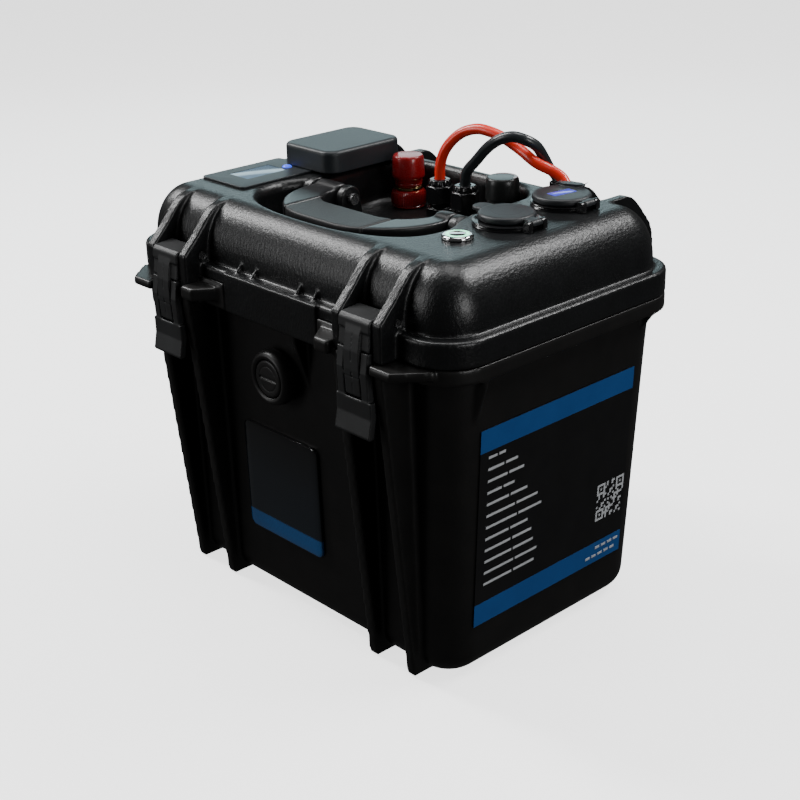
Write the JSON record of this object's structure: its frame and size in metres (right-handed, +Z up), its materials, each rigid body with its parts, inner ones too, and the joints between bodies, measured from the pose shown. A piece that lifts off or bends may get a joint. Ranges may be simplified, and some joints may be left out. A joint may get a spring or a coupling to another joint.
{
  "type": "deep cycle battery",
  "caption": "Portable deep cycle battery in a ribbed equipment case with a hinged latched lid, fold-down handle, binding posts, capped sockets and a lead plug.",
  "frame": {"origin": "centre of the flat bottom of the case, on the plane it rests on", "axes": "+Z up, -Y towards the latch side, +X towards the side with the data label"},
  "size_m": [0.3, 0.2468, 0.299],
  "materials": {
    "case_plastic": "moulded polypropylene, fine spark texture, slightly brown black, satin",
    "steel": "turned stainless steel",
    "valve_plastic": "fine satin black plastic",
    "seal_rubber": "soft black rubber",
    "badge_resin": "clear domed resin over a dark printed face",
    "label_film": "satin printed film with blue bands",
    "foam": "closed-cell foam",
    "cell_wrap": "blue film over the cell can",
    "busbar_metal": "flat plain aluminium",
    "module_plastic": "matt black casing",
    "lid_plastic": "moulded polypropylene with a leather grain, black, satin",
    "display_plastic": "slate grey matt plastic",
    "screen": "pale blue grey glossy screen",
    "bright_metal": "polished metal",
    "green_light": "pale green lit ring",
    "socket_plastic": "smooth glossy black plastic",
    "red_plastic": "deep red satin gloss plastic",
    "black_knob": "black satin gloss plastic",
    "brass": "turned brass, nickel washed",
    "gland_plastic": "glossy black nylon",
    "red_cable": "glossy red orange insulation",
    "black_cable": "satin black insulation",
    "latch_plastic": "moulded nylon, mid grey black, fine texture",
    "handle_plastic": "smooth satin black plastic",
    "grip_rubber": "textured black rubber",
    "cap_plastic": "soft satin black cap",
    "blue_window": "dark blue lens",
    "blue_light": "blue lit lens"
  },
  "bodies": {
    "case": {"case_base": "case_plastic", "hinge_pin_left": "steel", "hinge_pin_right": "steel", "purge_valve_body": "valve_plastic", "purge_valve_seal": "seal_rubber", "front_badge": "badge_resin", "side_label": "label_film", "foam_pad": "foam", "cell_1": "cell_wrap", "cell_2": "cell_wrap", "cell_3": "cell_wrap", "cell_4": "cell_wrap", "busbar_1": "busbar_metal", "busbar_2": "busbar_metal", "busbar_3": "busbar_metal", "management_module": "module_plastic"},
    "lid": {"lid_shell": "lid_plastic", "lid_seal": "seal_rubber", "latch_pin_left": "steel", "latch_pin_right": "steel", "handle_bolt_left": "steel", "handle_bolt_right": "steel", "display_housing": "display_plastic", "display_window": "screen", "outlet_base": "display_plastic", "outlet_hinge_pin": "steel", "power_button_bezel": "bright_metal", "power_button_ring": "green_light", "socket_12v_body": "socket_plastic", "socket_usb_body": "socket_plastic", "post_base_red": "red_plastic", "post_base_black": "black_knob", "post_stud_red": "brass", "post_stud_black": "brass", "gland_body_red": "gland_plastic", "gland_body_black": "gland_plastic", "gland_nut_red": "gland_plastic", "gland_nut_black": "gland_plastic", "lead_red": "red_cable", "lead_black": "black_cable", "lead_plug": "socket_plastic"},
    "latch_link_left": {"latch_link_left": "latch_plastic"},
    "latch_link_right": {"latch_link_right": "latch_plastic"},
    "latch_lever_left": {"latch_lever_left": "latch_plastic"},
    "latch_lever_right": {"latch_lever_right": "latch_plastic"},
    "handle": {"handle_frame": "handle_plastic", "handle_grip": "grip_rubber"},
    "outlet_cover": {"outlet_cover": "display_plastic"},
    "socket_12v_cap": {"socket_12v_cap": "cap_plastic"},
    "socket_usb_cap": {"socket_usb_cap": "cap_plastic", "usb_cap_window": "blue_window"},
    "power_button": {"power_button_cap": "bright_metal"},
    "display_button": {"display_button": "blue_light"},
    "post_washer_red": {"post_washer_red": "brass"},
    "post_washer_black": {"post_washer_black": "brass"},
    "post_knob_red": {"post_knob_red": "red_plastic"},
    "post_knob_black": {"post_knob_black": "black_knob"},
    "purge_valve_knob": {"purge_valve_knob": "valve_plastic"}
  },
  "joints": [
    {"name": "lid_hinge", "type": "hinge", "parent": "case", "child": "lid", "pos_m": [0, 0.118, 0.207], "axis": [-1, 0, 0], "range_deg": [0, 100]},
    {"name": "latch_link_left_swing", "type": "hinge", "parent": "lid", "child": "latch_link_left", "pos_m": [-0.08935, -0.101, 0.2305], "axis": [-1, 0, 0], "range_deg": [0, 80]},
    {"name": "latch_lever_left_pull", "type": "hinge", "parent": "latch_link_left", "child": "latch_lever_left", "pos_m": [-0.08935, -0.1165, 0.2], "axis": [-1, 0, 0], "range_deg": [0, 40]},
    {"name": "latch_link_right_swing", "type": "hinge", "parent": "lid", "child": "latch_link_right", "pos_m": [0.08935, -0.101, 0.2305], "axis": [-1, 0, 0], "range_deg": [0, 80]},
    {"name": "latch_lever_right_pull", "type": "hinge", "parent": "latch_link_right", "child": "latch_lever_right", "pos_m": [0.08935, -0.1165, 0.2], "axis": [-1, 0, 0], "range_deg": [0, 40]},
    {"name": "handle_fold", "type": "hinge", "parent": "lid", "child": "handle", "pos_m": [0, -0.009, 0.255], "axis": [-1, 0, 0], "range_deg": [0, 90]},
    {"name": "outlet_cover_flip", "type": "hinge", "parent": "lid", "child": "outlet_cover", "pos_m": [-0.1126, 0.03, 0.2686], "axis": [0, -1, 0], "range_deg": [0, 95]},
    {"name": "socket_12v_cap_flip", "type": "hinge", "parent": "lid", "child": "socket_12v_cap", "pos_m": [0.1171, 0.0008, 0.2662], "axis": [0, 1, 0], "range_deg": [0, 110]},
    {"name": "socket_usb_cap_flip", "type": "hinge", "parent": "lid", "child": "socket_usb_cap", "pos_m": [0.1133, 0.0523, 0.2662], "axis": [0, 1, 0], "range_deg": [0, 110]},
    {"name": "power_button_press", "type": "slide", "parent": "lid", "child": "power_button", "axis": [0, 0, -1], "range_m": [0, 0.0015]},
    {"name": "display_button_press", "type": "slide", "parent": "lid", "child": "display_button", "axis": [0, 0, -1], "range_m": [0, 0.0008]},
    {"name": "post_washer_red_lift", "type": "slide", "parent": "lid", "child": "post_washer_red", "axis": [0, 0, 1], "range_m": [0, 0.004]},
    {"name": "post_knob_red_turn", "type": "hinge", "parent": "post_washer_red", "child": "post_knob_red", "pos_m": [-0.0438, 0.0535, 0.2494], "axis": [0, 0, 1], "range_deg": [0, 1155]},
    {"name": "post_washer_black_lift", "type": "slide", "parent": "lid", "child": "post_washer_black", "axis": [0, 0, 1], "range_m": [0, 0.004]},
    {"name": "post_knob_black_turn", "type": "hinge", "parent": "post_washer_black", "child": "post_knob_black", "pos_m": [0.0425, 0.0535, 0.2494], "axis": [0, 0, 1], "range_deg": [0, 1155]},
    {"name": "purge_valve_turn", "type": "hinge", "parent": "case", "child": "purge_valve_knob", "pos_m": [-0.008, -0.1, 0.1645], "axis": [0, -1, 0], "range_deg": [0, 90]}
  ],
  "couplings": [
    {"joint": "post_knob_red_turn", "follows": "post_washer_red_lift", "rad_per_m": 5026.5},
    {"joint": "post_knob_black_turn", "follows": "post_washer_black_lift", "rad_per_m": 5026.5}
  ]
}
